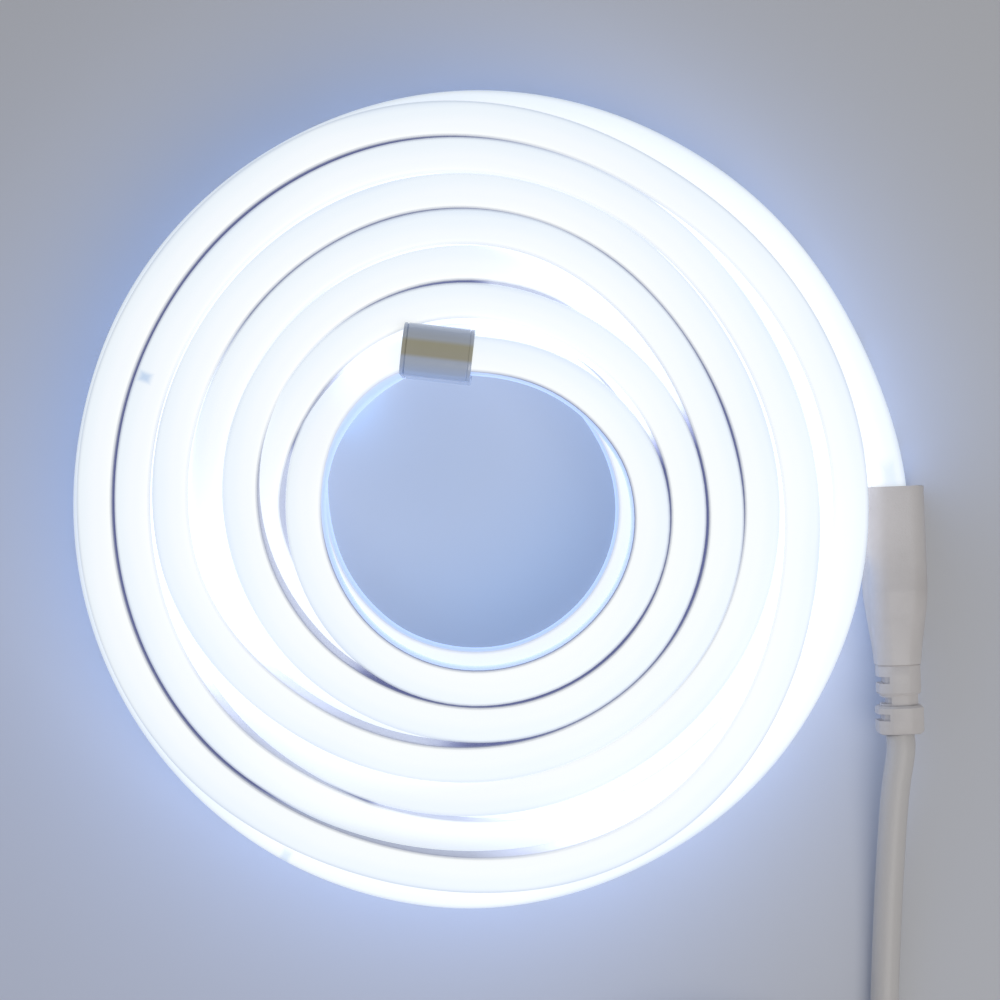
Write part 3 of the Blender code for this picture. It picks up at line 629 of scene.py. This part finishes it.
def draw_out(piece, distance, half_width, half_height, roundness=0.0):
    """Draws the piece's end face out along -Y and gives it a width, a height and a roundness."""
    bpy.ops.mesh.extrude_region_move(TRANSFORM_OT_translate={"value": (0.0, -distance, 0.0)})
    if roundness:
        bpy.ops.transform.tosphere(value=roundness)
    mesh = bmesh.from_edit_mesh(piece.data)
    ends = [v.co for v in mesh.verts if v.select]
    wide = max(v.x for v in ends)
    tall = max(v.z for v in ends) - CONNECTOR_AXIS
    bpy.ops.transform.resize(value=(half_width / wide, 1.0, half_height / tall),
                             center_override=(0.0, ends[0].y, CONNECTOR_AXIS))


select_faces(connector, lambda middle, normal: normal.y < -0.9)
taper_steps = 8
for i in range(1, taper_steps + 1):
    part = i / taper_steps
    part = part * part * (3 - 2 * part) * 0.6 + part * 0.4
    draw_out(connector, TAPER_LENGTH / taper_steps,
             SLEEVE[0] / 2 + (COLLAR_RADIUS + 0.0002 - SLEEVE[0] / 2) * part,
             SLEEVE[2] / 2 + (COLLAR_RADIUS + 0.0002 - SLEEVE[2] / 2) * part,
             0.4 * part + 0.6 * (i == taper_steps))
for distance, size in (
        (0.0, COLLAR_RADIUS - 0.0002), (0.0003, COLLAR_RADIUS), (0.0060, COLLAR_RADIUS),
        (0.0005, COLLAR_RADIUS - 0.0004), (0.0, NECK_RADIUS), (0.0025, NECK_RADIUS),
        (0.0, RING_RADIUS - 0.0005), (0.0005, RING_RADIUS), (0.0050, RING_RADIUS),
        (0.0007, RING_RADIUS - 0.0003), (0.0003, RING_RADIUS - 0.0009), (0.0, 0.0034),
        (-0.0012, 0.0033)):
    draw_out(connector, distance, size, size)
for middle, depth in STRAIN_NOTCHES:
    half = NOTCH_WIDTH / 2
    for at in (middle - half, middle - half / 2, middle, middle + half / 2, middle + half):
        bpy.ops.mesh.select_all(action="SELECT")
        bpy.ops.mesh.bisect(plane_co=(0, -at, 0), plane_no=(0, 1, 0))
    select_faces(connector, lambda centre, normal:
                 abs(centre.y + middle) < half and normal.x < -0.45)
    bpy.ops.mesh.extrude_region_move(TRANSFORM_OT_translate={"value": (depth, 0.0, 0.0)})
select_faces(connector, lambda middle, normal: normal.y > 0.9 and middle.y > -1e-5)
bpy.ops.mesh.inset(thickness=0.0014)
bpy.ops.transform.resize(value=(0.0084 / 0.0102, 1.0, 1.0), center_override=(0, 0, 0.0095))
bpy.ops.transform.translate(value=(-0.0009, 0.0, 0.0))
bpy.ops.mesh.extrude_region_move(TRANSFORM_OT_translate={"value": (0.0, -0.016, 0.0)})
select_edges(connector, lambda a, b: min(a.y, b.y) > -1e-5 and max(abs(a.x), abs(b.x)) > 0.005
             or max(abs(a.y + back), abs(b.y + back)) < 1e-5)
bpy.ops.mesh.bevel(offset=0.0003, segments=3, affect="EDGES")
bpy.ops.mesh.select_all(action="SELECT")
bpy.ops.mesh.remove_doubles(threshold=0.0000005)
bpy.ops.mesh.normals_make_consistent(inside=False)
bpy.ops.object.mode_set(mode="OBJECT")
connector.rotation_euler = (0.0, 0.0, CONNECTOR_LEAN)
connector.location = (*CONNECTOR_MOUTH, 0.0)
bpy.ops.object.transform_apply(location=True, rotation=True, scale=True)
bpy.ops.object.shade_smooth_by_angle(angle=math.radians(35))
bpy.ops.object.select_all(action="DESELECT")

connector_plastic, shader = finish("connector_plastic", (0.72, 0.69, 0.67), 0.42)
place = node(connector_plastic, "TexCoord")
cloud = node(connector_plastic, "TexNoise", Scale=90.0, Detail=4.0)
link(connector_plastic, place.outputs["Object"], cloud.inputs["Vector"])
link(connector_plastic, ramp(connector_plastic, cloud.outputs["Fac"], (
    (0.25, (0.585, 0.55, 0.535)), (0.75, (0.66, 0.625, 0.61)))), shader.inputs["Base Color"])
grain = node(connector_plastic, "TexNoise", Scale=2200.0, Detail=3.0)
link(connector_plastic, place.outputs["Object"], grain.inputs["Vector"])
bump(connector_plastic, shader, grain.outputs["Fac"], 0.3, 0.0002)
connector.data.materials.append(connector_plastic)
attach(connector, "root")
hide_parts("power_connector")

# ---------------------------------------------------------------------------
# The mains plug: a flat two-pin plug moulded in PVC on the lead's end, narrower
# towards the lead, where a ribbed strain relief lets the lead bend.
# ---------------------------------------------------------------------------
PLUG_FACE = -0.058
PLUG_Y = -0.20235
PLUG_AXIS = 0.00685
PLUG_BODY = (0.034, 0.0353, 0.0137)
PLUG_BACK_WIDTH = 0.025
PLUG_RELIEF = (0.0048, 0.0040, 0.014)

bpy.ops.mesh.primitive_cube_add(size=1.0)
plug = bpy.context.object
plug.name = "mains_plug_moulding"
plug.scale = PLUG_BODY
plug.location = (PLUG_FACE + PLUG_BODY[0] / 2, PLUG_Y, PLUG_AXIS)
bpy.ops.object.transform_apply(location=True, rotation=True, scale=True)
bpy.ops.object.mode_set(mode="EDIT")
select_edges(plug, lambda a, b: abs(a.x - b.x) > 0.01)
bpy.ops.mesh.bevel(offset=0.0062, segments=8, affect="EDGES")
for part in (0.15, 0.3, 0.4, 0.5, 0.6, 0.7, 0.8, 0.9):
    bpy.ops.mesh.select_all(action="SELECT")
    bpy.ops.mesh.bisect(plane_co=(PLUG_FACE + part * PLUG_BODY[0], 0, 0), plane_no=(1, 0, 0))
for part in (0.4, 0.5, 0.6, 0.7, 0.8, 0.9, 1.0):
    place = PLUG_FACE + part * PLUG_BODY[0]
    drawn_in = math.sin(math.pi / 2 * (part - 0.3) / 0.7) ** 2
    narrow = 1.0 - (1.0 - PLUG_BACK_WIDTH / PLUG_BODY[1]) * drawn_in
    select_verts(plug, lambda at: abs(at.x - place) < 1e-5)
    bpy.ops.transform.resize(value=(1.0, narrow, 1.0), center_override=(place, PLUG_Y, PLUG_AXIS))


def draw_back(piece, distance, half_width, half_height, roundness=0.0):
    """Draws the plug's back face out along +X and gives it a width, a height and a roundness."""
    bpy.ops.mesh.extrude_region_move(TRANSFORM_OT_translate={"value": (distance, 0.0, 0.0)})
    if roundness:
        bpy.ops.transform.tosphere(value=roundness)
    mesh = bmesh.from_edit_mesh(piece.data)
    ends = [v.co for v in mesh.verts if v.select]
    wide = max(v.y for v in ends) - PLUG_Y
    tall = max(v.z for v in ends) - PLUG_AXIS
    bpy.ops.transform.resize(value=(1.0, half_width / wide, half_height / tall),
                             center_override=(ends[0].x, PLUG_Y, PLUG_AXIS))


plug_back = PLUG_FACE + PLUG_BODY[0]
select_faces(plug, lambda middle, normal: normal.x > 0.9 and middle.x > plug_back - 1e-5)
draw_back(plug, 0.0008, 0.0110, 0.0060)
draw_back(plug, 0.0006, 0.0085, 0.0050, 0.3)
draw_back(plug, 0.0002, PLUG_RELIEF[0], PLUG_RELIEF[0], 1.0)
ribs = 5
pitch = (PLUG_RELIEF[2] - 0.0026) / ribs
for rib in range(ribs):
    thick = PLUG_RELIEF[0] + (PLUG_RELIEF[1] - PLUG_RELIEF[0]) * rib / (ribs - 1)
    for distance, size in ((0.0003, thick), (0.55 * pitch - 0.0006, thick),
                           (0.0003, thick - 0.0008), (0.45 * pitch - 0.0003, thick - 0.0008),
                           (0.0003, thick - 0.0001)):
        draw_back(plug, distance, size, size)
draw_back(plug, 0.0004, PLUG_RELIEF[1] - 0.0003, PLUG_RELIEF[1] - 0.0003)
draw_back(plug, 0.0, 0.0035, 0.0035)
draw_back(plug, -0.0008, 0.0034, 0.0034)
select_edges(plug, lambda a, b: max(a.x, b.x) < PLUG_FACE + 1e-5)
bpy.ops.mesh.bevel(offset=0.0009, segments=3, affect="EDGES")
for level in (-0.00025, 0.0, 0.00025):
    bpy.ops.mesh.select_all(action="SELECT")
    bpy.ops.mesh.bisect(plane_co=(0, 0, PLUG_AXIS + level), plane_no=(0, 0, 1))
bpy.ops.mesh.select_all(action="SELECT")
bpy.ops.mesh.remove_doubles(threshold=0.000005)
bpy.ops.mesh.normals_make_consistent(inside=False)
bpy.ops.object.mode_set(mode="OBJECT")
for vertex in plug.data.vertices:
    if abs(vertex.co.z - PLUG_AXIS) < 0.0001 and vertex.co.x < plug_back:
        vertex.co.y -= math.copysign(0.0002, vertex.co.y - PLUG_Y)
bpy.ops.object.shade_smooth_by_angle(angle=math.radians(35))
bpy.ops.object.select_all(action="DESELECT")

plug_plastic, shader = finish("plug_plastic", (0.78, 0.77, 0.75), 0.42)
place = node(plug_plastic, "TexCoord")
cloud = node(plug_plastic, "TexNoise", Scale=80.0, Detail=4.0)
link(plug_plastic, place.outputs["Object"], cloud.inputs["Vector"])
link(plug_plastic, ramp(plug_plastic, cloud.outputs["Fac"], (
    (0.25, (0.60, 0.57, 0.555)), (0.75, (0.68, 0.655, 0.64)))), shader.inputs["Base Color"])
grain = node(plug_plastic, "TexNoise", Scale=2200.0, Detail=3.0)
link(plug_plastic, place.outputs["Object"], grain.inputs["Vector"])
bump(plug_plastic, shader, grain.outputs["Fac"], 0.3, 0.0002)
plug.data.materials.append(plug_plastic)
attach(plug, "root")
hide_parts("plug_body")

# ---------------------------------------------------------------------------
# The plug's two pins: nickel-plated brass, 4 mm thick, moulded into its face,
# each with a pale plastic sleeve on the half next to the face.
# ---------------------------------------------------------------------------
PIN_SLEEVE_END = -0.0680

pin_nickel, shader = finish("pin_nickel", (0.78, 0.76, 0.72), 0.25)
place = node(pin_nickel, "TexCoord")
split = node(pin_nickel, "SeparateXYZ")
link(pin_nickel, place.outputs["Object"], split.inputs["Vector"])
sleeve = maths(pin_nickel, "GREATER_THAN", split.outputs["X"], PIN_SLEEVE_END)
drawn = node(pin_nickel, "Mapping", Scale=(120.0, 2600.0, 2600.0))
link(pin_nickel, place.outputs["Object"], drawn.inputs["Vector"])
lines = node(pin_nickel, "TexNoise", Scale=1.0, Detail=3.0)
link(pin_nickel, drawn.outputs["Vector"], lines.inputs["Vector"])
plating = ramp(pin_nickel, lines.outputs["Fac"], (
    (0.3, (0.62, 0.60, 0.56)), (0.7, (0.80, 0.78, 0.74))))
cover = ramp(pin_nickel, lines.outputs["Fac"], (
    (0.3, (0.62, 0.60, 0.58)), (0.7, (0.66, 0.64, 0.62))))
link(pin_nickel, blend(pin_nickel, "MIX", sleeve, plating, cover), shader.inputs["Base Color"])
link(pin_nickel, maths(pin_nickel, "SUBTRACT", 1.0, sleeve), shader.inputs["Metallic"])
link(pin_nickel, maths(pin_nickel, "MULTIPLY_ADD", sleeve, 0.2, 0.22), shader.inputs["Roughness"])
bump(pin_nickel, shader, lines.outputs["Fac"], 0.15, 0.0001)
for pin in ("plug_pin_left", "plug_pin_right"):
    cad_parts[pin].data.materials.clear()
    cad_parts[pin].data.materials.append(pin_nickel)

# ---------------------------------------------------------------------------
# The surface and the light: a plain pale grey floor, a soft sky, one large soft
# lamp above, and the blue light that the band throws on the surface round it.
# ---------------------------------------------------------------------------
bpy.ops.mesh.primitive_plane_add(size=6.0, location=(0.0, 0.0, -0.0002))
floor = bpy.context.object
floor.name = "floor"
floor_paint, shader = finish("floor_paint", (0.60, 0.60, 0.61), 0.7)
floor.data.materials.append(floor_paint)

world = bpy.data.worlds.new("sky")
bpy.context.scene.world = world
world.use_nodes = True
world.node_tree.nodes["Background"].inputs["Color"].default_value = (0.95, 0.97, 1.0, 1.0)
world.node_tree.nodes["Background"].inputs["Strength"].default_value = 0.36

bpy.ops.object.light_add(type="AREA", location=(0.34, -0.42, 0.95))
lamp = bpy.context.object
lamp.name = "soft_lamp"
lamp.data.shape = "DISK"
lamp.data.size = 0.8
lamp.data.energy = 3.4
lamp.data.color = (1.0, 0.975, 0.95)
lamp.rotation_euler = (Vector((0, 0, 0)) - lamp.location).to_track_quat("-Z", "Y").to_euler()

# The light that the band throws on the surface alone: a soft pool, strongest below the coil,
# and lights along the outer turn's wall (facing out) and round the bore (facing in).
BORE_LIGHT_RADIUS = 0.0340
LIGHT_OFF_TURN = 0.0046
lit_surface = bpy.data.collections.new("lit_surface")
lit_surface.objects.link(floor)
bpy.ops.object.light_add(type="AREA", location=(-0.08, -0.08, 0.09))
pool = bpy.context.object
pool.name = "thrown_light"
pool.data.shape = "DISK"
pool.data.size = 0.24
pool.data.energy = 0.045
pool.data.color = (0.12, 0.34, 1.0)
pool.visible_camera = False
pool.visible_glossy = False
pool.light_linking.receiver_collection = lit_surface
for count, facing, energy, colour in (
        (24, 1, 0.0021, (0.16, 0.38, 1.0)), (8, -1, 0.0032, (0.10, 0.42, 1.0))):
    for i in range(count):
        turn = math.tau * i / count
        out = Vector((math.cos(turn), math.sin(turn), 0.0))
        distance = BORE_LIGHT_RADIUS
        if facing == 1:
            outer_turn = float(np.interp(math.degrees(turn), angle, radius))
            distance = 0.001 * outer_turn + LIGHT_OFF_TURN
        bpy.ops.object.light_add(type="AREA", location=out * distance + Vector(
            (FLEX_CENTRE, 0.0, FLEX_HEIGHT)))
        wall_light = bpy.context.object
        wall_light.name = "wall_light"
        wall_light.data.shape = "RECTANGLE"
        wall_light.data.size = math.tau * distance / count
        wall_light.data.size_y = 0.03
        wall_light.data.energy = energy
        wall_light.data.color = colour
        wall_light.data.use_shadow = False
        wall_light.rotation_euler = (out * facing).to_track_quat("-Z", "Y").to_euler()
        wall_light.visible_camera = False
        wall_light.visible_glossy = False
        wall_light.light_linking.receiver_collection = lit_surface

bpy.context.scene.view_settings.view_transform = "Standard"

# The haze of light round so bright a band, as a lens shows it.
bpy.context.scene.use_nodes = True
haze = bpy.context.scene.node_tree
haze.nodes.clear()
picture = haze.nodes.new("CompositorNodeRLayers")
glare = haze.nodes.new("CompositorNodeGlare")
glare.glare_type = "BLOOM"
glare.quality = "HIGH"
for name, value in (("Threshold", 0.8), ("Strength", 0.36), ("Size", 0.7),
                    ("Tint", (0.45, 0.62, 1.0, 1.0))):
    if name in glare.inputs:
        glare.inputs[name].default_value = value
shown = haze.nodes.new("CompositorNodeComposite")
haze.links.new(picture.outputs["Image"], glare.inputs["Image"])
haze.links.new(glare.outputs["Image"], shown.inputs["Image"])
